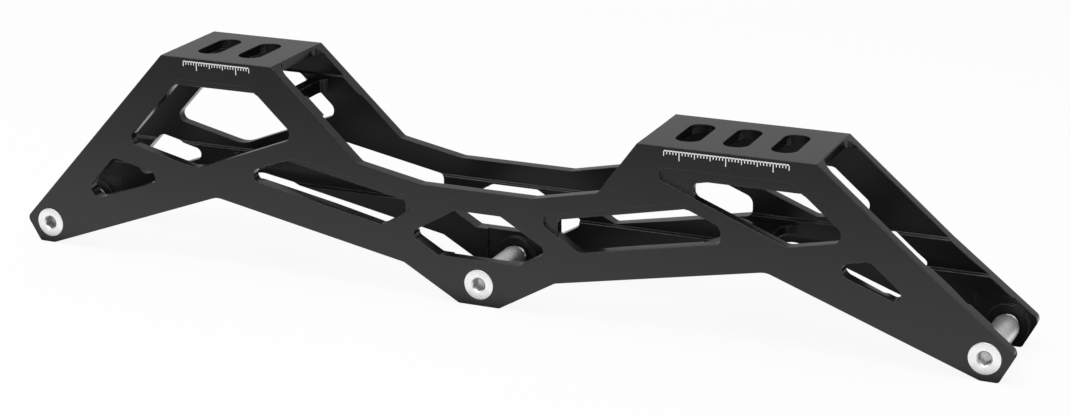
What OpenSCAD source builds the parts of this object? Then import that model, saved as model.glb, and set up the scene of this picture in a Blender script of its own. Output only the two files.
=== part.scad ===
// Inline skate frame: one machined body with two raised decks and three screwed axles.
// X runs from heel to toe, Y across the frame, Z up from the lowest edge.
// All sizes are in millimetres.

/* [Side outline] */
// distance between the two outer axles
wheelbase = 320; // [310:1:326]
// height of the axle line above the lowest edge
axle_z = 7; // [6.4:0.1:8]
// height of the heel deck above the lowest edge
heel_deck_z = 70.3; // [68:0.1:73]
// height of the toe deck above the lowest edge
toe_deck_z = 59.4; // [57.5:0.1:61]
// height of the low top edge between the decks
waist_z = 37.8; // [36.5:0.1:39]
// height of the arches over the gaps between the wheels
arch_z = 24.1; // [22.5:0.1:25.5]

/* [Decks and slots] */
// distance from a heel slot to the matching toe slot
mount_span = 165; // [162:0.5:168]
// middle of the slot span, measured from the middle axle
mount_shift = -17.1; // [-18.5:0.1:-15.5]
// distance between neighbouring slots
slot_pitch = 15; // [14:0.1:16]
// width of a slot along the frame
slot_w = 8.1; // [7.4:0.1:9]
// length of a slot across the frame
slot_l = 19; // [17:0.1:21]
// corner radius of a slot
slot_r = 3.8; // [2:0.1:4]
// thickness of both decks
deck_t = 3; // [2.4:0.1:3.6]
// corner radius where a deck's end meets the walls
deck_r = 4; // [3:0.1:5]

/* [Walls and webs] */
// overall width across both side walls
frame_w = 33.2; // [32:0.1:36]
// thickness of a side wall in its upper part
wall_t = 3.4; // [2.9:0.1:3.9]
// extra thickness of the two long rails inside each wall
rail_t = 1.1; // [0.6:0.1:1.4]
// top of the lower rail, which carries the axles
low_rail_z = 21.3; // [20.4:0.1:22]
// top of the upper rail, which carries the cross webs
web_rail_z = 31.1; // [30.6:0.1:31.6]
// height of the upper rail's upright side
web_rail_h = 5.1; // [4.6:0.1:5.4]
// how far the ledges on top of the rails slope up towards the wall
rail_slope = 0.5; // [0.3:0.1:0.8]
// thickness of the lower cross webs
web_t = 2.8; // [2.2:0.1:3.4]
// length of the heel web on the frame's middle line
heel_web_l = 8.4; // [7:0.1:11]
// length of the toe web on the frame's middle line
toe_web_l = 13.8; // [11:0.1:17]
// corner radius where a web's end meets the walls
web_r = 7.2; // [6:0.1:8.4]
// length along the frame of the rib under the heel deck's front edge
rib_l = 4.1; // [3.2:0.1:5.4]
// height of that rib and of the ledges beside it, up to the toe deck's level
rib_h = 4.3; // [3.6:0.1:4.8]
// corner radius where the rib meets the walls
rib_r = 4; // [3:0.1:5]

/* [Windows] */
// width of metal left under the decks
deck_rim = 9.7; // [8.8:0.1:10.5]
// width of metal left along the outer slopes
slope_rim = 9.9; // [9:0.1:10.6]
// width of metal left along the heel deck's front slope
inner_rim = 11.2; // [10.2:0.1:12]
// width of metal left along the lower edges
low_rim = 10; // [9.2:0.1:10.6]
// width of metal left along the low top edge
waist_rim = 7.5; // [6.8:0.1:8.2]
// width of the struts next to the decks
strut_w = 6.4; // [5.4:0.1:7.2]
// width of the struts beside the middle window
mid_strut_w = 6.1; // [5.2:0.1:7]
// depth of the shallow pockets round the windows
pocket_d = 1.1; // [0.6:0.1:1.6]
// width of a pocket's floor above its window
pocket_lip = 2.1; // [1.4:0.1:2.8]

/* [Axles] */
// diameter of an axle's shaft
shaft_d = 8; // [7.6:0.1:8.6]
// diameter of an axle's head
head_d = 10; // [9.6:0.1:11]
// thickness of an axle's head
head_t = 2.2; // [1.8:0.1:2.6]
// width across the flats of the hexagon socket
hex_w = 4; // [3:0.1:5]
// depth of the hexagon socket
hex_depth = 3.4; // [2.6:0.1:4.5]
// diameter of the threaded end
thread_d = 7; // [6.4:0.1:7.4]
// diameter of the bosses round the axles inside the walls
boss_d = 13; // [12:0.1:14]
// gap between an axle and its bore, all round
fit_gap = 0.05; // [0.03:0.01:0.09]
// length of the thread-lock band
lock_l = 1.6; // [1.2:0.1:2]
// thickness of the thread-lock band
lock_t = 0.4; // [0.3:0.05:0.5]

/* [Hidden] */
$fn = 64;

half_w = frame_w / 2;
gap_up = half_w - wall_t;
gap_low = gap_up - rail_t;
reach = wheelbase / 2;
heel_slot = mount_shift - mount_span / 2;
toe_slot = mount_shift + mount_span / 2;
web_z = web_rail_z - 1.05 - web_t;
rib_z = toe_deck_z - rib_h;
ledge_top = toe_deck_z + 1.4;
cut = 1;
// lets a corner's arc cross its two sides cleanly
ease = 0.002;

// lines are a point and a direction; an inset moves a line to its left
function unit(a) = a / norm(a);
function line_ab(a, b) = [a, unit(b - a)];
function line_at(p, turn) = [p, [cos(turn), sin(turn)]];
function inset(l, d) = [l[0] + d * [-l[1][1], l[1][0]], l[1]];
function cross2(a, b) = a[0] * b[1] - a[1] * b[0];
function meet(l, m) = l[0] + l[1] * cross2(m[0] - l[0], m[1]) / cross2(l[1], m[1]);
function corners(ls) = [for (i = [0 : len(ls) - 1]) meet(ls[i], ls[(i + 1) % len(ls)])];

// corners of the side outline, from the heel tip round under the frame and back over the top
heel_tip = [-reach - 9.1, axle_z + 1];
heel_foot_a = [-reach - 4.4, 0];
heel_foot_b = [-reach + 1.1, 0];
heel_arch = [-0.586 * reach, arch_z];
mid_heel = [-25.9, axle_z + 4];
mid_foot_a = [-6.9, 0];
mid_foot_b = [6.9, 0];
mid_toe = [25.9, axle_z + 4];
toe_arch = [0.586 * reach, arch_z];
toe_foot_b = [reach - 1.1, 0];
toe_foot_a = [reach + 4.4, 0];
toe_tip = [reach + 9.3, axle_z + 2.4];
toe_deck_b = [toe_slot + 2 * slot_pitch + 13.3, toe_deck_z];
toe_bend = toe_tip + 0.4625 * (toe_deck_b - toe_tip) + [0.3, -1.2];
toe_deck_a = [toe_slot - 12.5, toe_deck_z];
toe_valley = [toe_slot - 25.2, waist_z + 4.4];
waist_b = [19.2, waist_z];
waist_a = [-19.2, waist_z];
heel_valley = [heel_slot + slot_pitch + 43.6, waist_z + 4.2];
heel_deck_b = [heel_slot + slot_pitch + 13.6, heel_deck_z];
heel_deck_a = [heel_slot - 12.2, heel_deck_z];
outline = [heel_tip, heel_foot_a, heel_foot_b, heel_arch, mid_heel, mid_foot_a, mid_foot_b,
    mid_toe, toe_arch, toe_foot_b, toe_foot_a, toe_tip, toe_bend, toe_deck_b, toe_deck_a,
    toe_valley, waist_b, waist_a, heel_valley, heel_deck_b, heel_deck_a];
outline_r = [2.2, 1.2, 3, 6, 2, 1.5, 1.5, 2, 6, 3, 1.2, 2.4, 20, 0.6, 0.6, 2.5, 3, 3, 2.5, 0.6, 0.6];

// edges of the outline that the windows follow
heel_slope = line_ab(heel_deck_a, heel_tip);
heel_inner = line_ab(heel_valley, heel_deck_b);
heel_low = line_ab(heel_foot_b, heel_arch);
heel_mid_low = line_ab(heel_arch, mid_heel);
mid_low_a = line_ab(mid_heel, mid_foot_a);
mid_low_b = line_ab(mid_foot_b, mid_toe);
toe_mid_low = line_ab(mid_toe, toe_arch);
toe_low = line_ab(toe_arch, toe_foot_b);
toe_slope = line_ab(toe_bend, toe_deck_b);
waist_toe = line_ab(toe_valley, waist_b);
waist_mid = line_ab(waist_b, waist_a);
waist_heel = line_ab(waist_a, heel_valley);
heel_top = line_ab(heel_deck_b, heel_deck_a);
toe_top = line_ab(toe_deck_b, toe_deck_a);

// struts between the windows
heel_strut = line_at([heel_slot + 27.2, axle_z + 34], 21.3);
heel_end_strut = line_at([heel_slot - 15.4, axle_z + 25.8], -13);
mid_strut_a = line_at([-22, axle_z + 18.7], 30.5);
mid_strut_b = line_at([22, axle_z + 18.7], 149.5);
toe_strut_up = line_at([toe_slot - 3.8, axle_z + 41], -21.4);
toe_strut_low = line_at([toe_slot + 4.6, axle_z + 33.1], -21.4);
toe_end_strut = line_at([toe_slot + 52.6, axle_z + 26.4], 11.8);
heel_strut_w = strut_w - 0.6;
heel_end_w = strut_w + 0.8;

// the windows cut right through each wall: three behind the middle, the diamond, three ahead of it
heel_window = corners([inset(heel_slope, slope_rim - 0.3), inset(heel_end_strut, heel_end_w / 2),
    inset(heel_strut, heel_strut_w / 2), inset(heel_inner, inner_rim), inset(heel_top, deck_rim)]);
heel_window_r = [2.3, 10, 2.7, 2.5, 1];
heel_end_window = corners([inset(heel_slope, slope_rim - 0.3), inset(heel_low, low_rim + 0.2),
    inset(heel_end_strut, -heel_end_w / 2)]);
heel_end_window_r = [3.2, 2.1, 3];
heel_low_window = corners([inset(heel_mid_low, low_rim), inset(mid_strut_a, mid_strut_w / 2),
    line_at([-25.4, 0], 90), inset(waist_heel, waist_rim + 0.1), inset(heel_strut, -heel_strut_w / 2)]);
heel_low_window_r = [2, 0.8, 1.2, 1.8, 2.4];
mid_window = corners([line_at([0, axle_z + 8.1], 0), inset(mid_low_b, low_rim - 0.4),
    inset(mid_strut_b, mid_strut_w / 2), inset(waist_mid, waist_rim - 0.2),
    inset(mid_strut_a, -mid_strut_w / 2), inset(mid_low_a, low_rim - 0.4)]);
mid_window_r = [2, 1.9, 2, 2, 1.9, 2];
toe_low_window = corners([inset(toe_mid_low, low_rim - 0.6), line_at([toe_slot + 14.1, 0], 90), toe_strut_low,
    inset(waist_toe, waist_rim + 0.15), line_at([26.6, 0], 90), inset(mid_strut_b, -mid_strut_w / 2)]);
toe_low_window_r = [1.9, 3.1, 1.8, 1.2, 0.8, 2];
toe_window = corners([toe_strut_up, inset(toe_end_strut, strut_w / 2 - 0.1),
    inset(toe_slope, slope_rim + 0.15), inset(toe_top, deck_rim + 0.3), line_at([toe_slot + 5.1, 0], 90)]);
toe_window_r = [5, 2.7, 2.5, 2.5, 2.5];
toe_end_window = corners([inset(toe_low, low_rim + 0.1), inset(toe_slope, slope_rim + 0.5),
    inset(toe_end_strut, 0.1 - strut_w / 2)]);
toe_end_window_r = [2, 3, 2.5];

// the shallow pockets, each running from inside a window out over one or two of its edges
step = 0.25;
heel_pocket = corners([inset(heel_slope, slope_rim - 0.3 + step), inset(heel_top, deck_rim + 5),
    inset(heel_inner, inner_rim + step), inset(heel_top, deck_rim - pocket_lip)]);
heel_pocket_r = [0.5, 0.5, 2.5, 2];
heel_low_pocket = corners([inset(waist_heel, waist_rim + 4.6), inset(mid_strut_a, mid_strut_w / 2 + step),
    inset(waist_heel, waist_rim + 0.1 - pocket_lip), inset(heel_strut, -heel_strut_w / 2 - step)]);
heel_low_pocket_r = [0.5, 2.5, 1.8, 0.5];
toe_low_pocket = corners([inset(waist_toe, waist_rim + 4.6), inset(toe_strut_low, -step),
    inset(waist_toe, waist_rim + 0.15 - pocket_lip), inset(mid_strut_b, -mid_strut_w / 2 - step)]);
toe_low_pocket_r = [0.5, 1.8, 2.5, 0.5];
toe_pocket = corners([inset(toe_strut_up, step), inset(toe_top, deck_rim + 7),
    inset(toe_slope, slope_rim + 0.15 + step), inset(toe_top, deck_rim - pocket_lip - 0.8),
    line_at([toe_slot - 5.4, 0], 90)]);
toe_pocket_r = [0.5, 0.5, 2.5, 1.6, 1.6];

// a polygon with a true arc at every corner
function arc_side(p, i) = unit(p[(i + len(p) - 1) % len(p)] - p[i]);
function arc_next(p, i) = unit(p[(i + 1) % len(p)] - p[i]);
function arc_half(p, i) = acos(arc_side(p, i) * arc_next(p, i)) / 2;
function arc_mid(p, i, r) = p[i] + unit(arc_side(p, i) + arc_next(p, i)) * r / sin(arc_half(p, i));
function arc_in(p, i, r) = p[i] + arc_side(p, i) * r / tan(arc_half(p, i));
function arc_out(p, i, r) = p[i] + arc_next(p, i) * r / tan(arc_half(p, i));
function bulges(p, i) = cross2(arc_next(p, i), arc_side(p, i)) > 0;

module rounded(p, r) {
    last = len(p) - 1;
    difference() {
        union() {
            polygon([for (i = [0 : last]) each [arc_in(p, i, r[i]), arc_out(p, i, r[i])]]);
            for (i = [0 : last]) {
                if (bulges(p, i)) {
                    translate(arc_mid(p, i, r[i])) circle(r = r[i] + ease);
                }
            }
        }
        for (i = [0 : last]) {
            if (!bulges(p, i)) {
                translate(arc_mid(p, i, r[i])) circle(r = r[i] + ease);
            }
        }
    }
}

// a side shape stood upright and given its width across the frame
module upright(y0, y1) {
    translate([0, y1, 0]) rotate([90, 0, 0]) linear_extrude(height = y1 - y0) children();
}

// a box given by its two corners
module span(a, b) {
    translate(a) cube(b - a);
}

// one window through both walls, leaving the webs between them alone
module window(p, r) {
    upright(gap_low - 0.4, half_w + cut) rounded(p, r);
    upright(-half_w - cut, -gap_low + 0.4) rounded(p, r);
}

module pocket(p, r) {
    upright(half_w - pocket_d, half_w + cut) rounded(p, r);
    upright(-half_w - cut, -half_w + pocket_d) rounded(p, r);
}

// plan of a hollow between the walls that starts squarely at x and runs l along the frame
module bay(x, l, w, r) {
    a = min(x, x + l);
    b = max(x, x + l);
    ra = l > 0 ? r : 1;
    rb = l > 0 ? 1 : r;
    rounded([[a, -w], [b, -w], [b, w], [a, w]], [ra, rb, rb, ra]);
}

// a bar across the gap between the walls, spread out at its four corners
module cross_bar(x, l, r) {
    w = gap_low + 0.3;
    difference() {
        translate([x - r, -half_w]) square([l + 2 * r, frame_w]);
        bay(x, -3 * r, w, r);
        bay(x + l, 3 * r, w, r);
    }
}

// a cross web between the walls, hollowed at both ends for the wheels, with its middle at x
module web(x, l) {
    translate([0, 0, web_z]) linear_extrude(height = web_t) cross_bar(x - l / 2, l, web_r);
}

// section of the gap between the walls, with the lower rails and the rails that carry the webs
module gap_section(top) {
    side = [[gap_low, -cut], [gap_low, low_rail_z], [gap_up, low_rail_z + rail_slope],
        [gap_low, web_rail_z - web_rail_h], [gap_low, web_rail_z], [gap_up, web_rail_z + rail_slope],
        [gap_up, top]];
    last = len(side) - 1;
    polygon(concat(side, [for (i = [0 : last]) [-side[last - i][0], side[last - i][1]]]));
}

// hollow between the walls up to the rib's level, with the cross webs left standing
module low_hollow() {
    far = 2 * reach;
    difference() {
        translate([-far, 0, 0]) rotate([90, 0, 90]) linear_extrude(height = 2 * far) gap_section(rib_z);
        web(heel_slot + 4.8, heel_web_l);
        web(toe_slot + slot_pitch + 3, toe_web_l);
    }
}

// takes the slope off a deck's end between the walls, so that the end stands upright
module deck_end(x, l, top) {
    translate([0, 0, top - deck_t - cut]) linear_extrude(height = deck_t + 2 * cut) bay(x, l, gap_up, deck_r);
}

module slot(x, top) {
    a = slot_w / 2;
    b = slot_l / 2;
    r = min(slot_r, a - 0.1);
    translate([x, 0, top - deck_t - cut]) linear_extrude(height = deck_t + 2 * cut)
        rounded([[-a, -b], [a, -b], [a, b], [-a, b]], [r, r, r, r]);
}

// a round bar across the frame at an axle's place
module across(x, r, y0, y1) {
    translate([x, y0, axle_z]) rotate([-90, 0, 0]) cylinder(r = r, h = y1 - y0);
}

// the relief inside the walls round an axle, with a boss left standing in it
module relief(x) {
    difference() {
        span([x - 10, -gap_up, -cut], [x + 10, gap_up, axle_z + 8.6]);
        across(x, boss_d / 2, gap_low, half_w);
        across(x, boss_d / 2, -half_w, -gap_low);
    }
}

// stepped bore of one axle: head seat and clear hole in the near wall, thread in the far wall
module axle_bore(x) {
    across(x, head_d / 2 + fit_gap, -half_w - cut, -half_w + head_t);
    across(x, shaft_d / 2 + fit_gap, -half_w, 0);
    across(x, thread_d / 2 + fit_gap, 0, half_w + cut);
}

// hollow between the walls under the heel deck, with a rib and a ledge left at the toe deck's level
module heel_hollow() {
    far = 2 * reach;
    difference() {
        span([-far, -gap_low, rib_z - cut], [-30, gap_low, ledge_top + cut]);
        translate([0, 0, rib_z]) linear_extrude(height = rib_h) cross_bar(heel_slot + 26.7, rib_l, rib_r);
    }
    span([-far, -gap_up, ledge_top], [-30, gap_up, heel_deck_z - deck_t]);
}

module frame_body() {
    far = 2 * reach;
    color([0.05, 0.05, 0.055]) difference() {
        upright(-half_w, half_w) rounded(outline, outline_r);
        low_hollow();
        span([0, -gap_up, rib_z - cut], [far, gap_up, toe_deck_z - deck_t]);
        heel_hollow();
        deck_end(heel_deck_a[0], -12, heel_deck_z);
        deck_end(heel_deck_b[0], 12, heel_deck_z);
        deck_end(toe_deck_a[0], -12, toe_deck_z);
        deck_end(toe_deck_b[0], 12, toe_deck_z);
        window(heel_window, heel_window_r);
        window(heel_end_window, heel_end_window_r);
        window(heel_low_window, heel_low_window_r);
        window(mid_window, mid_window_r);
        window(toe_low_window, toe_low_window_r);
        window(toe_window, toe_window_r);
        window(toe_end_window, toe_end_window_r);
        pocket(heel_pocket, heel_pocket_r);
        pocket(heel_low_pocket, heel_low_pocket_r);
        pocket(toe_low_pocket, toe_low_pocket_r);
        pocket(toe_pocket, toe_pocket_r);
        for (x = [-reach, 0, reach]) {
            relief(x);
            axle_bore(x);
        }
        for (i = [0, 1]) {
            slot(heel_slot + i * slot_pitch, heel_deck_z);
        }
        for (i = [0, 1, 2]) {
            slot(toe_slot + i * slot_pitch, toe_deck_z);
        }
    }
}

// half section of an axle, from its head at the near face to its threaded end in the far wall
thread_y = gap_low + 0.1;
neck_y = thread_y - 1.6;
end_y = half_w - 0.5;
lock_y = half_w - 3.1;
neck_r = thread_d / 2 - 0.6;
axle_profile = [[0, -half_w], [head_d / 2 - 0.3, -half_w], [head_d / 2, 0.3 - half_w],
    [head_d / 2, head_t - half_w], [shaft_d / 2, head_t - half_w], [shaft_d / 2, neck_y - 0.4],
    [shaft_d / 2 - 0.4, neck_y], [neck_r, neck_y], [neck_r, thread_y], [thread_d / 2, thread_y + 0.4],
    [thread_d / 2, lock_y], [thread_d / 2 - lock_t, lock_y], [thread_d / 2 - lock_t, lock_y + lock_l],
    [thread_d / 2, lock_y + lock_l], [thread_d / 2, end_y - 0.5], [thread_d / 2 - 0.5, end_y], [0, end_y]];

module axle(x) {
    translate([x, 0, axle_z]) rotate([-90, 0, 0]) difference() {
        rotate_extrude() polygon(axle_profile);
        translate([0, 0, -half_w - cut]) cylinder(d = hex_w / cos(30), h = hex_depth + cut, $fn = 6);
        translate([0, 0, -half_w - 0.01]) cylinder(r1 = hex_w / 2 + 0.45, r2 = hex_w / 2, h = 0.45);
    }
}

module thread_lock(x) {
    translate([x, 0, axle_z]) rotate([-90, 0, 0]) translate([0, 0, lock_y]) difference() {
        cylinder(r = thread_d / 2, h = lock_l);
        translate([0, 0, -cut]) cylinder(r = thread_d / 2 - lock_t, h = lock_l + 2 * cut);
    }
}

module heel_axle() {
    color([0.75, 0.76, 0.78]) axle(-reach);
}

module middle_axle() {
    color([0.75, 0.76, 0.78]) axle(0);
}

module toe_axle() {
    color([0.75, 0.76, 0.78]) axle(reach);
}

module heel_thread_lock() {
    color([0.1, 0.25, 0.7]) thread_lock(-reach);
}

module middle_thread_lock() {
    color([0.1, 0.25, 0.7]) thread_lock(0);
}

module toe_thread_lock() {
    color([0.1, 0.25, 0.7]) thread_lock(reach);
}

frame_body();
heel_axle();
middle_axle();
toe_axle();
heel_thread_lock();
middle_thread_lock();
toe_thread_lock();
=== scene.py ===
import math

import bmesh
import bpy
from mathutils import Matrix, Vector


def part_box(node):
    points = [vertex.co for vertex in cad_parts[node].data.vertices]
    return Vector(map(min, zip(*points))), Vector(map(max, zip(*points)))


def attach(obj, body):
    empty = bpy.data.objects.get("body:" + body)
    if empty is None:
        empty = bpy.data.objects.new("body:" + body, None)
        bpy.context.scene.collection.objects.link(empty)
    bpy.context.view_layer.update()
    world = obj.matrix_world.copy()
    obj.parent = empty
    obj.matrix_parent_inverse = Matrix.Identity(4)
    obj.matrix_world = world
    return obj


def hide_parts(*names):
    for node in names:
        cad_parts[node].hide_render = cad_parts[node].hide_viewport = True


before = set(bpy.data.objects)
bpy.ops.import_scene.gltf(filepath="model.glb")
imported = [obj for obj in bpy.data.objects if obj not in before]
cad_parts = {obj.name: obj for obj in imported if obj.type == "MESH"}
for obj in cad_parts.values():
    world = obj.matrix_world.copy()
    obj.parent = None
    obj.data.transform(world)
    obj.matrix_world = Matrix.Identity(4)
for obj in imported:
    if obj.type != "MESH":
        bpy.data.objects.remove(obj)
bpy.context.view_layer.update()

MM = 0.001
TURN = 2 * math.pi
WHITE = (1, 1, 1, 1)

AXLES = ("heel_axle", "middle_axle", "toe_axle")

# The body's own faces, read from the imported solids.
BODY_LOW, BODY_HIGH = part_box("frame_body")
NEAR_Y = BODY_LOW.y
HALF_W = BODY_HIGH.y / MM

# The milled body: the width of a broken edge, and the bends in degrees that count as flat, as an
# edge to break and as a sharp edge in shading.
EDGE_BREAK = 0.2 * MM
WELD = 0.002 * MM
FLAT_BEND, EDGE_BEND, SHARP_BEND = 0.6, 42, 48
# Millimetres from the middle plane: inner walls lie below the first, outer walls above the second.
INNER_TO_OUTER = (13.0, 13.6)

# The axle screw, in millimetres: depths from the head's face, stations from the middle plane.
HEAD_R, HEAD_DEPTH = 5.0, 2.2
SOCKET_R, SOCKET_DEPTH, SOCKET_MOUTH_R = 2.0, 3.4, 2.45
DRILL_R, DRILL_DEPTH = 1.5, 3.85
SHAFT_R, SHAFT_END = 4.0, 10.6
NECK_R, NECK_END = 2.9, 12.2
THREAD_R, THREAD_DEPTH, THREAD_PITCH = 3.49, 0.26, 0.75
THREAD_START, THREAD_END = 12.55, 15.65
THREAD_RUN_IN, THREAD_RUN_OUT = 0.2, 0.15
GROOVE_R, GROOVE_START, GROOVE_END = 3.1, 13.5, 15.1
TIP_R, CENTRE_MARK_R, CENTRE_MARK_DEPTH = 3.0, 0.9, 0.5
SCREW_SEGMENTS = 96
SCREW_SHARP_BEND = 30

# Two printed scales on the near wall: start along the frame, top edge, divisions.
PRINTED_SCALES = {
    "heel_scale": (-103.45 * MM, 69.28 * MM, 25),
    "toe_scale": (61.45 * MM, 58.34 * MM, 40),
}
TICK_SIZES = {
    "Pitch": 0.97 * MM,
    "Short Tick": 1.26 * MM,
    "Middle Tick": 1.84 * MM,
    "Long Tick": 2.94 * MM,
    "Stroke": 0.25 * MM,
    "Bar": 0.36 * MM,
    "Film": 0.02 * MM,
}

# The camera fitted to the photograph: degrees, pixels and metres.
CAMERA_TURN, CAMERA_RISE, CAMERA_TILT = 23.9033, 18.6563, -0.5646
FOCAL_PX, PICTURE_W_PX = 2349.245, 1070
CAMERA_PLACE = (0.295366, -0.638703, 0.264466)
SENSOR_W = 36

FLOOR_HALF_W = 6
FLOOR_DROP = 0.1 * MM
LAMP_AIM = (0, 0, 0.03)


# ---------------------------------------------------------------- node helpers

class Socket:
    """A node's output that can be used in sums: each operator adds a Math node."""

    def __init__(self, net, link):
        self.net, self.link = net, link

    def _math(self, operation, *values):
        return self.net.add("ShaderNodeMath", {"operation": operation}, dict(enumerate(values)))

    def __add__(self, other):
        return self._math("ADD", self, other)

    def __radd__(self, other):
        return self._math("ADD", other, self)

    def __sub__(self, other):
        return self._math("SUBTRACT", self, other)

    def __rsub__(self, other):
        return self._math("SUBTRACT", other, self)

    def __mul__(self, other):
        return self._math("MULTIPLY", self, other)

    def __mod__(self, other):
        return self._math("MODULO", self, other)

    def __lt__(self, other):
        return self._math("LESS_THAN", self, other)

    def __abs__(self):
        return self._math("ABSOLUTE", self)

    def sine(self):
        return self._math("SINE", self)

    def angle(self, across):
        return self._math("ARCTAN2", self, across)

    def root(self):
        return self._math("SQRT", self)

    def most(self, other):
        return self._math("MAXIMUM", self, other)

    def rise(self, low, high):
        """0 below low, 1 above high, and a soft step between them."""
        return self.net.add("ShaderNodeMapRange", {"interpolation_type": "SMOOTHSTEP"},
                            {"Value": self, "From Min": low, "From Max": high})


class Net:
    """A node tree that grows by one method."""

    def __init__(self, tree):
        self.tree = tree

    def add(self, kind, settings=None, sockets=None, out=0):
        node = self.tree.nodes.new(kind)
        for name, value in (settings or {}).items():
            setattr(node, name, value)
        for key, value in (sockets or {}).items():
            if isinstance(value, Socket):
                self.tree.links.new(value.link, node.inputs[key])
            else:
                node.inputs[key].default_value = value
        return Socket(self, node.outputs[out])

    def join(self, x, y, z):
        return self.add("ShaderNodeCombineXYZ", None, {"X": x, "Y": y, "Z": z})

    def mix_shaders(self, share, a, b):
        return self.add("ShaderNodeMixShader", None, {0: share, 1: a, 2: b})


class Finish(Net):
    """A material whose patterns are measured in millimetres on the piece."""

    def __init__(self, name, centre=(0, 0, 0)):
        self.material = bpy.data.materials.new(name)
        self.material.use_nodes = True
        super().__init__(self.material.node_tree)
        self.tree.nodes.clear()
        metres = self.add("ShaderNodeTexCoord", out="Object")
        self.place = self.add("ShaderNodeMapping", {"vector_type": "POINT"},
                              {"Vector": metres, "Scale": (1 / MM, 1 / MM, 1 / MM),
                               "Location": tuple(-c / MM for c in centre)})
        self.x, self.y, self.z = self.split(self.place)

    def split(self, vector):
        node = self.add("ShaderNodeSeparateXYZ", None, {"Vector": vector}).link.node
        return [Socket(self, s) for s in node.outputs]

    def facing_sideways(self, low, high):
        """1 on faces that look along y, 0 on the others."""
        normal = self.split(self.add("ShaderNodeNewGeometry", out="Normal"))
        return abs(normal[1]).rise(low, high)

    def noise(self, vector, scale, detail=2.0, roughness=0.5):
        return self.add("ShaderNodeTexNoise", {"noise_dimensions": "3D"},
                        {"Vector": vector, "Scale": scale, "Detail": detail,
                         "Roughness": roughness})

    def mix(self, share, a, b):
        """Two colours mixed. The node repeats its sockets' names, so they go by number."""
        return self.add("ShaderNodeMix", {"data_type": "RGBA"}, {0: share, 6: a, 7: b}, out=2)

    def bump(self, height, strength, depth_mm, under=None):
        sockets = {"Height": height, "Strength": strength, "Distance": depth_mm * MM}
        if under is not None:
            sockets["Normal"] = under
        return self.add("ShaderNodeBump", None, sockets)

    def shade(self, **sockets):
        named = {key.replace("_", " "): value for key, value in sockets.items()}
        self.add_output(self.add("ShaderNodeBsdfPrincipled", None, named))
        return self.material

    def add_output(self, shader):
        node = self.tree.nodes.new("ShaderNodeOutputMaterial")
        self.tree.links.new(shader.link, node.inputs["Surface"])


def grey(level):
    """A neutral colour from its level on a screen, 0 to 255."""
    s = level / 255
    v = s / 12.92 if s <= 0.04045 else ((s + 0.055) / 1.055) ** 2.4
    return (v, v, v, 1.0)


# ---------------------------------------------------------------- finishes

def black_anodised():
    """Dyed oxide on machined bar: drawn lines along the walls, cutter marks on the cut faces."""
    f = Finish("black_anodised")
    wall = f.facing_sideways(0.55, 0.9)
    inside = wall * (1 - abs(f.y).rise(*INNER_TO_OUTER))

    along_wall = f.join(f.x * 0.018, f.y * 0.2, f.z * 1.9)
    drawn = f.noise(along_wall, scale=1.0, detail=3.0, roughness=0.6)
    across_cut = f.join(f.x * 0.95 + f.z * 0.6, f.y * 0.02, f.z * 0.3 - f.x * 0.2)
    cutter = f.noise(across_cut, scale=1.7, roughness=0.6)
    lines = drawn * wall + cutter * (1 - wall)
    cloud = f.noise(f.place, scale=0.035, detail=3.0, roughness=0.55)
    grain = f.noise(f.place, scale=3.2, roughness=0.6)
    edge = f.add("ShaderNodeAttribute", {"attribute_name": "edge_wear_and_highlight"}, out="Fac")
    rubbed_and_highlit = edge * f.noise(f.place, scale=0.55, detail=3.0, roughness=0.65).rise(0.36, 0.66)

    tone = f.mix(cloud.rise(0.3, 0.7), grey(9), grey(14))
    tone = f.mix((lines - 0.35).most(0) * 0.5, tone, grey(28))
    # Worn edges show bare metal in patches, and their lighter colour is also a painted highlight
    # along the broken edges.
    tone = f.mix(rubbed_and_highlit * 0.25, tone, grey(110))
    satin = 0.22 + inside * 0.2 - rubbed_and_highlit * 0.03
    roughness = satin + (lines - 0.5) * 0.12 + (cloud - 0.5) * 0.08 + (grain - 0.5) * 0.06
    # Painted shade: on so dark a base a share of metal takes sheen away, which dulls the inner
    # walls where shade falls between them.
    metal = rubbed_and_highlit * 0.3 + inside * 0.45
    fine = f.bump(grain, strength=0.12, depth_mm=0.02)
    surface = f.bump(lines, strength=0.1, depth_mm=0.03, under=fine)
    return f.shade(Base_Color=tone, Roughness=roughness, Metallic=metal, Normal=surface, IOR=1.5)


def white_ink():
    """Screen-printed ink, a little uneven and pitted."""
    f = Finish("white_ink")
    patch = f.noise(f.place, scale=2.1, detail=3.0, roughness=0.6)
    pits = f.noise(f.place, scale=7.0, detail=1.0).rise(0.66, 0.76)
    tone = f.mix(patch.rise(0.3, 0.75), grey(243), grey(253))
    tone = f.mix(pits * 0.25, tone, grey(150))
    surface = f.bump(patch, strength=0.15, depth_mm=0.01)
    return f.shade(Base_Color=tone, Roughness=0.5 + (patch - 0.5) * 0.2, Normal=surface)


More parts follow.
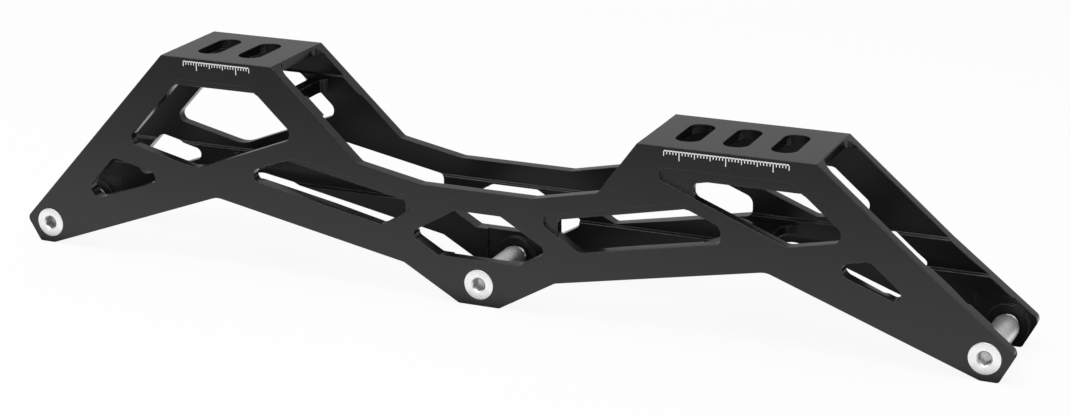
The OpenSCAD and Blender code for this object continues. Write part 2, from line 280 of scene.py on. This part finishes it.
def turned_steel(name, centre):
    """Bright plated steel: turning rings on the head, finer ones along the shaft, painted shade in
    the socket and the neck.
    """
    f = Finish("turned_steel_" + name, centre)
    out = (f.x * f.x + f.z * f.z).root()
    around = f.z.angle(f.x)
    flat = f.facing_sideways(0.6, 0.9)
    within_mouth = 1 - out.rise(SOCKET_MOUTH_R - 0.1, SOCKET_MOUTH_R + 0.15)
    socket = (f.y + HALF_W).rise(0.05, 2.6) * within_mouth
    neck = f.y.rise(SHAFT_END - 0.3, SHAFT_END) * (1 - f.y.rise(NECK_END, NECK_END + 0.4))

    rings = f.noise(f.join(out * 5.0, around * 0.12, 0.0), scale=1.0, roughness=0.6)
    laps = f.noise(f.join(around * 0.1, f.y * 4.2, 0.0), scale=1.0, roughness=0.6)
    turned = rings * flat + laps * (1 - flat)
    patch = f.noise(f.place, scale=0.45, detail=3.0, roughness=0.6)

    tone = f.mix(patch.rise(0.3, 0.7), grey(234), grey(249))
    tone = f.mix((turned - 0.5).most(0) * 0.8, tone, grey(206))
    # Painted shade: the socket is darkened, more so deeper in.
    tone = f.mix(socket * 0.55, tone, grey(70))
    # Painted shade: the relief neck is darkened.
    tone = f.mix(neck * 0.8, tone, grey(60))
    roughness = 0.27 + (1 - flat) * 0.15 + (turned - 0.5) * 0.2 + (patch - 0.5) * 0.1
    surface = f.bump(turned, strength=0.12, depth_mm=0.02)
    return f.shade(Base_Color=tone, Metallic=1.0, Roughness=roughness, Normal=surface)


def thread_lock_blue(name, centre):
    """Dry blue thread-lock, matt and crumbly, laid over the thread's turns."""
    dark, bright, dusty = (0.012, 0.05, 0.27, 1), (0.03, 0.11, 0.42, 1), (0.16, 0.28, 0.6, 1)
    f = Finish("thread_lock_blue_" + name, centre)
    crumbs = f.noise(f.place, scale=2.6, detail=4.0, roughness=0.65)
    patch = f.noise(f.place, scale=0.7)
    helix = (f.y * (TURN / THREAD_PITCH) - f.z.angle(f.x)).sine() * 0.5 + 0.5
    tone = f.mix(patch.rise(0.3, 0.7), dark, bright)
    tone = f.mix(crumbs.rise(0.55, 0.75) * 0.5, tone, dusty)
    turns = f.bump(helix, strength=0.8, depth_mm=0.2)
    surface = f.bump(crumbs, strength=0.5, depth_mm=0.06, under=turns)
    return f.shade(Base_Color=tone, Roughness=0.72 + (crumbs - 0.5) * 0.3, Normal=surface)


# ---------------------------------------------------------------- pieces

def in_scene(name, data):
    """A new object in the scene: a piece, a lamp or the camera."""
    thing = bpy.data.objects.new(name, data)
    bpy.context.scene.collection.objects.link(thing)
    return thing


def mesh_from(bm, name):
    mesh = bpy.data.meshes.new(name)
    bm.to_mesh(mesh)
    bm.free()
    return mesh


def made_plain(piece):
    """Give the piece its evaluated mesh in place of its modifiers, and return that mesh."""
    depsgraph = bpy.context.evaluated_depsgraph_get()
    mesh = bpy.data.meshes.new_from_object(piece.evaluated_get(depsgraph))
    old = piece.data
    piece.modifiers.clear()
    piece.data = mesh
    bpy.data.meshes.remove(old)
    return mesh


def smooth_by_angle(mesh, degrees):
    mesh.polygons.foreach_set("use_smooth", [True] * len(mesh.polygons))
    mesh.set_sharp_from_angle(angle=math.radians(degrees))


def milled_body(finish):
    """The machined body with its sharp edges broken."""
    bm = bmesh.new()
    bm.from_mesh(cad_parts["frame_body"].data)
    bmesh.ops.remove_doubles(bm, verts=bm.verts, dist=WELD)
    bmesh.ops.dissolve_limit(bm, angle_limit=math.radians(FLAT_BEND),
                             verts=bm.verts, edges=bm.edges)
    mesh = mesh_from(bm, "milled_body")
    # The second slot only marks the broken edges, until their wear and painted highlight are
    # written to the faces.
    mesh.materials.clear()
    mesh.materials.append(finish)
    mesh.materials.append(finish)
    piece = in_scene("milled_body", mesh)
    bevel = piece.modifiers.new("broken_edges", "BEVEL")
    bevel.width = EDGE_BREAK
    bevel.segments = 2
    bevel.limit_method = "ANGLE"
    bevel.angle_limit = math.radians(EDGE_BEND)
    bevel.use_clamp_overlap = False
    bevel.material = 1
    mesh = made_plain(piece)
    wear_and_highlight = mesh.attributes.new("edge_wear_and_highlight", "FLOAT", "FACE")
    wear_and_highlight.data.foreach_set("value", [float(face.material_index) for face in mesh.polygons])
    mesh.polygons.foreach_set("material_index", [0] * len(mesh.polygons))
    mesh.materials.pop()
    smooth_by_angle(mesh, SHARP_BEND)
    weigh = piece.modifiers.new("flat_faces", "WEIGHTED_NORMAL")
    weigh.mode = "FACE_AREA"
    weigh.weight = 50
    weigh.keep_sharp = True
    made_plain(piece)
    return piece


def screw_rings(head, end):
    """An axle screw's rings from the socket's floor to the far end.

    Each ring turns an angle into a station along the screw and a radius. head and end are the
    stations of the head's face and of the far end.
    """
    def hexagon(t):
        return SOCKET_R / math.cos((t + TURN / 12) % (TURN / 6) - TURN / 12)

    def plain(y, r):
        return lambda t: (y, r)

    def threaded(y):
        fade = min(1, (y - THREAD_START) / THREAD_RUN_IN, (THREAD_END - y) / THREAD_RUN_OUT)
        depth = THREAD_DEPTH * fade
        return lambda t: (y, THREAD_R - depth * (0.5 - 0.5 * math.cos(TURN * y / THREAD_PITCH - t)))

    def turns(first, step, count):
        return [threaded(first + step * i) for i in range(count)]

    floor, seat = head + SOCKET_DEPTH, head + HEAD_DEPTH
    socket = [plain(floor, DRILL_R), lambda t: (floor, hexagon(t)),
              lambda t: (head + SOCKET_MOUTH_R - hexagon(t), hexagon(t)),
              plain(head, SOCKET_MOUTH_R)]
    rim = [plain(head, HEAD_R - 0.3), plain(head + 0.04, HEAD_R - 0.15),
           plain(head + 0.15, HEAD_R - 0.04), plain(head + 0.3, HEAD_R),
           plain(seat - 0.08, HEAD_R), plain(seat, HEAD_R - 0.08)]
    shaft = [plain(seat, SHAFT_R), plain(SHAFT_END - 0.4, SHAFT_R), plain(SHAFT_END, SHAFT_R - 0.4)]
    neck = [plain(SHAFT_END, NECK_R + 0.1), plain(SHAFT_END + 0.15, NECK_R),
            plain(NECK_END - 0.15, NECK_R), plain(NECK_END, NECK_R + 0.05)]
    first_turns = [plain(THREAD_START, THREAD_R), *turns(THREAD_START + 0.05, step=0.09, count=10)]
    groove = [plain(GROOVE_START, THREAD_R), plain(GROOVE_START, GROOVE_R),
              plain(GROOVE_END, GROOVE_R), plain(GROOVE_END, THREAD_R)]
    last_turns = turns(GROOVE_END + 0.06, step=0.08, count=6)
    tip = [plain(THREAD_END - 0.05, THREAD_R), plain(end, TIP_R), plain(end, CENTRE_MARK_R)]
    return socket + rim + shaft + neck + first_turns + groove + last_turns + tip


def axle_screw(node, finish):
    """One axle: hexagon socket, flush head, shaft, relief neck and threaded end."""
    low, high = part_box(node)
    x, z = (low.x + high.x) / 2, (low.z + high.z) / 2
    head, end = low.y / MM, high.y / MM
    bm = bmesh.new()

    def vertex(t, y, r):
        return bm.verts.new((x + r * MM * math.cos(t), y * MM, z + r * MM * math.sin(t)))

    def pairs(loop):
        return zip(loop, loop[1:] + loop[:1])

    angles = [TURN * i / SCREW_SEGMENTS for i in range(SCREW_SEGMENTS)]
    loops = [[vertex(t, *ring(t)) for t in angles] for ring in screw_rings(head, end)]
    for loop, after in zip(loops, loops[1:]):
        for (a, b), (c, d) in zip(pairs(loop), pairs(after)):
            bm.faces.new((a, b, d, c))
    # The socket ends in a drill's point, and the far end has a centre mark.
    for loop, point in ((loops[0], head + DRILL_DEPTH), (loops[-1], end - CENTRE_MARK_DEPTH)):
        tip = vertex(0, point, 0)
        for a, b in pairs(loop):
            bm.faces.new((a, b, tip))
    bmesh.ops.recalc_face_normals(bm, faces=bm.faces)
    mesh = mesh_from(bm, node + "_screw")
    mesh.materials.append(finish)
    smooth_by_angle(mesh, SCREW_SHARP_BEND)
    return in_scene(node + "_screw", mesh)


def tick_scale_tree():
    """Geometry Nodes for a printed scale: a bar with ticks hanging from it."""
    tree = bpy.data.node_groups.new("tick_scale", "GeometryNodeTree")
    kinds = {"Divisions": "NodeSocketInt", **dict.fromkeys(TICK_SIZES, "NodeSocketFloat"),
             "Ink": "NodeSocketMaterial"}
    for name, kind in kinds.items():
        tree.interface.new_socket(name, in_out="INPUT", socket_type=kind)
    tree.interface.new_socket("Geometry", in_out="OUTPUT", socket_type="NodeSocketGeometry")
    net = Net(tree)
    inputs = tree.nodes.new("NodeGroupInput")
    size = {name: Socket(net, inputs.outputs[name]) for name in kinds}
    short, middle, long = size["Short Tick"], size["Middle Tick"], size["Long Tick"]
    stroke, film, bar_height = size["Stroke"], size["Film"], size["Bar"]

    def block(edges):
        return net.add("GeometryNodeMeshCube", None, {"Size": edges})

    def moved(geometry, by):
        return net.add("GeometryNodeTransform", None, {"Geometry": geometry, "Translation": by})

    # Every fifth tick is longer, and of those the second, the fifth and so on are the longest.
    index = net.add("GeometryNodeInputIndex")
    fifth = (index % 5) < 0.5
    longest = abs(index % 15 - 5) < 0.5
    length = short + (middle - short) * fifth + (long - middle) * longest
    starts = net.add("GeometryNodeMeshLine", {"mode": "OFFSET"},
                     {"Count": size["Divisions"] + 1, "Offset": net.join(size["Pitch"], 0.0, 0.0)})
    ticks = net.add("GeometryNodeInstanceOnPoints", None,
                    {"Points": starts, "Instance": moved(block((1, 1, 1)), (0, 0, -0.5)),
                     "Scale": net.join(stroke, film, length)})
    run = size["Divisions"] * size["Pitch"]
    bar = moved(block(net.join(run + stroke, film, bar_height)),
                net.join(run * 0.5, 0.0, bar_height * -0.5))
    both = tree.nodes.new("GeometryNodeJoinGeometry")
    tree.links.new(bar.link, both.inputs[0])
    tree.links.new(ticks.link, both.inputs[0])
    real = net.add("GeometryNodeRealizeInstances", None,
                   {"Geometry": Socket(net, both.outputs[0])})
    inked = net.add("GeometryNodeSetMaterial", None, {"Geometry": real, "Material": size["Ink"]})
    end = tree.nodes.new("NodeGroupOutput")
    tree.links.new(inked.link, end.inputs[0])
    return tree


def printed_scale(name, tree, ink):
    """One scale printed on the near wall under a deck, its film sunk by a quarter into the wall."""
    start, top, divisions = PRINTED_SCALES[name]
    piece = in_scene(name, bpy.data.meshes.new(name))
    maker = piece.modifiers.new("ticks", "NODES")
    maker.node_group = tree
    values = {"Divisions": divisions, **TICK_SIZES, "Ink": ink}
    for item in tree.interface.items_tree:
        if item.in_out == "INPUT":
            maker[item.identifier] = values[item.name]
    mesh = made_plain(piece)
    mesh.transform(Matrix.Translation((start, NEAR_Y - TICK_SIZES["Film"] / 4, top)))
    return piece


# ---------------------------------------------------------------- studio

def ray_kinds(net):
    """Two switches: rays that see the background itself, and rays that see it in a reflection."""
    rays = net.add("ShaderNodeLightPath").link.node.outputs
    seen = Socket(net, rays["Is Camera Ray"]).most(Socket(net, rays["Is Transmission Ray"]))
    return seen, Socket(net, rays["Is Glossy Ray"])


def studio_floor(under, near, far):
    """White paper; reflections show a painted shadow under the frame and painted light, bright
    beside it and dim far off.
    """
    bm = bmesh.new()
    bmesh.ops.create_grid(bm, x_segments=1, y_segments=1, size=FLOOR_HALF_W)
    mesh = mesh_from(bm, "floor")
    mesh.transform(Matrix.Translation((0, 0, -FLOOR_DROP)))
    f = Finish("studio_floor")
    seen, glossy = ray_kinds(f)
    paper = f.add("ShaderNodeBsdfDiffuse", None, {"Color": grey(246)})
    white = f.add("ShaderNodeEmission", None, {"Color": WHITE, "Strength": 1.0})
    beside = abs(f.y)
    pool = f.mix(beside.rise(16, 276), near, far)
    pool = f.mix(beside.rise(10, 30), under, pool)
    # The paper glows in reflections only: a painted reflection carrying the painted shadow and
    # light.
    reflected = f.add("ShaderNodeEmission", None, {"Color": pool, "Strength": 1.15})
    shown = f.mix_shaders(seen * 0.9, paper, white)
    f.add_output(f.mix_shaders(glossy, shown, reflected))
    mesh.materials.append(f.material)
    floor = in_scene("floor", mesh)


def studio_world(fill, mirrored):
    """White all round; it lights the frame by fill and shows in reflections by mirrored."""
    world = bpy.data.worlds.new("studio")
    world.use_nodes = True
    bpy.context.scene.world = world
    net = Net(world.node_tree)
    net.tree.nodes.clear()
    seen, glossy = ray_kinds(net)
    lit, white, reflected = [
        net.add("ShaderNodeBackground", None, {"Color": WHITE, "Strength": level})
        for level in (fill, 1.0, mirrored)]
    both = net.mix_shaders(glossy, net.mix_shaders(seen, lit, white), reflected)
    end = net.tree.nodes.new("ShaderNodeOutputWorld")
    net.tree.links.new(both.link, end.inputs["Surface"])


def soft_box(name, place, size, watts):
    lamp = bpy.data.lights.new(name, "AREA")
    lamp.shape = "RECTANGLE"
    lamp.size, lamp.size_y = size
    lamp.energy = watts
    holder = in_scene(name, lamp)
    holder.location = place
    aim = Vector(LAMP_AIM) - Vector(place)
    holder.rotation_euler = aim.to_track_quat("-Z", "Y").to_euler()


def photo_camera():
    """The camera where the photograph was taken, with its slight roll and its lens."""
    turn, rise, tilt = (math.radians(a) for a in (CAMERA_TURN, CAMERA_RISE, CAMERA_TILT))
    level = Vector((math.cos(turn), math.sin(turn), 0))
    back = Vector((math.sin(turn) * math.cos(rise), -math.cos(turn) * math.cos(rise),
                   math.sin(rise)))
    up = back.cross(level)
    roll = math.asin(math.sin(tilt) / up.z)
    right = level * math.cos(roll) + up * math.sin(roll)
    up = back.cross(right)
    lens = bpy.data.cameras.new("photo_camera")
    lens.sensor_fit = "HORIZONTAL"
    lens.sensor_width = SENSOR_W
    lens.lens = SENSOR_W * FOCAL_PX / PICTURE_W_PX
    lens.clip_start, lens.clip_end = 0.01, 50
    camera = in_scene("photo_camera", lens)
    pose = Matrix((right, up, back)).transposed().to_4x4()
    pose.translation = CAMERA_PLACE
    camera.matrix_world = pose
    bpy.context.scene.camera = camera


# ---------------------------------------------------------------- assembly

body = milled_body(black_anodised())
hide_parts("frame_body")
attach(body, "frame")

for axle in AXLES:
    low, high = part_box(axle)
    centre = ((low.x + high.x) / 2, 0, (low.z + high.z) / 2)
    screw = axle_screw(axle, turned_steel(axle, centre))
    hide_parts(axle)
    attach(screw, axle)
    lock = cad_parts[axle.replace("axle", "thread_lock")]
    lock.data.materials.clear()
    lock.data.materials.append(thread_lock_blue(axle, centre))

ink = white_ink()
scale_tree = tick_scale_tree()
for name in PRINTED_SCALES:
    scale = printed_scale(name, scale_tree, ink)
    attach(scale, "frame")

# Floor in reflections: painted shadow under the frame, painted light beside it, dimmer far off.
studio_floor(under=grey(40), near=grey(250), far=grey(160))
studio_world(fill=0.45, mirrored=0.5)
soft_box("overhead", place=(-0.15, -0.25, 0.95), size=(1.3, 0.8), watts=7.0)
soft_box("front_fill", place=(0.5, -1.3, 0.5), size=(0.9, 0.7), watts=4.0)
photo_camera()

bpy.context.scene.view_settings.view_transform = "Standard"
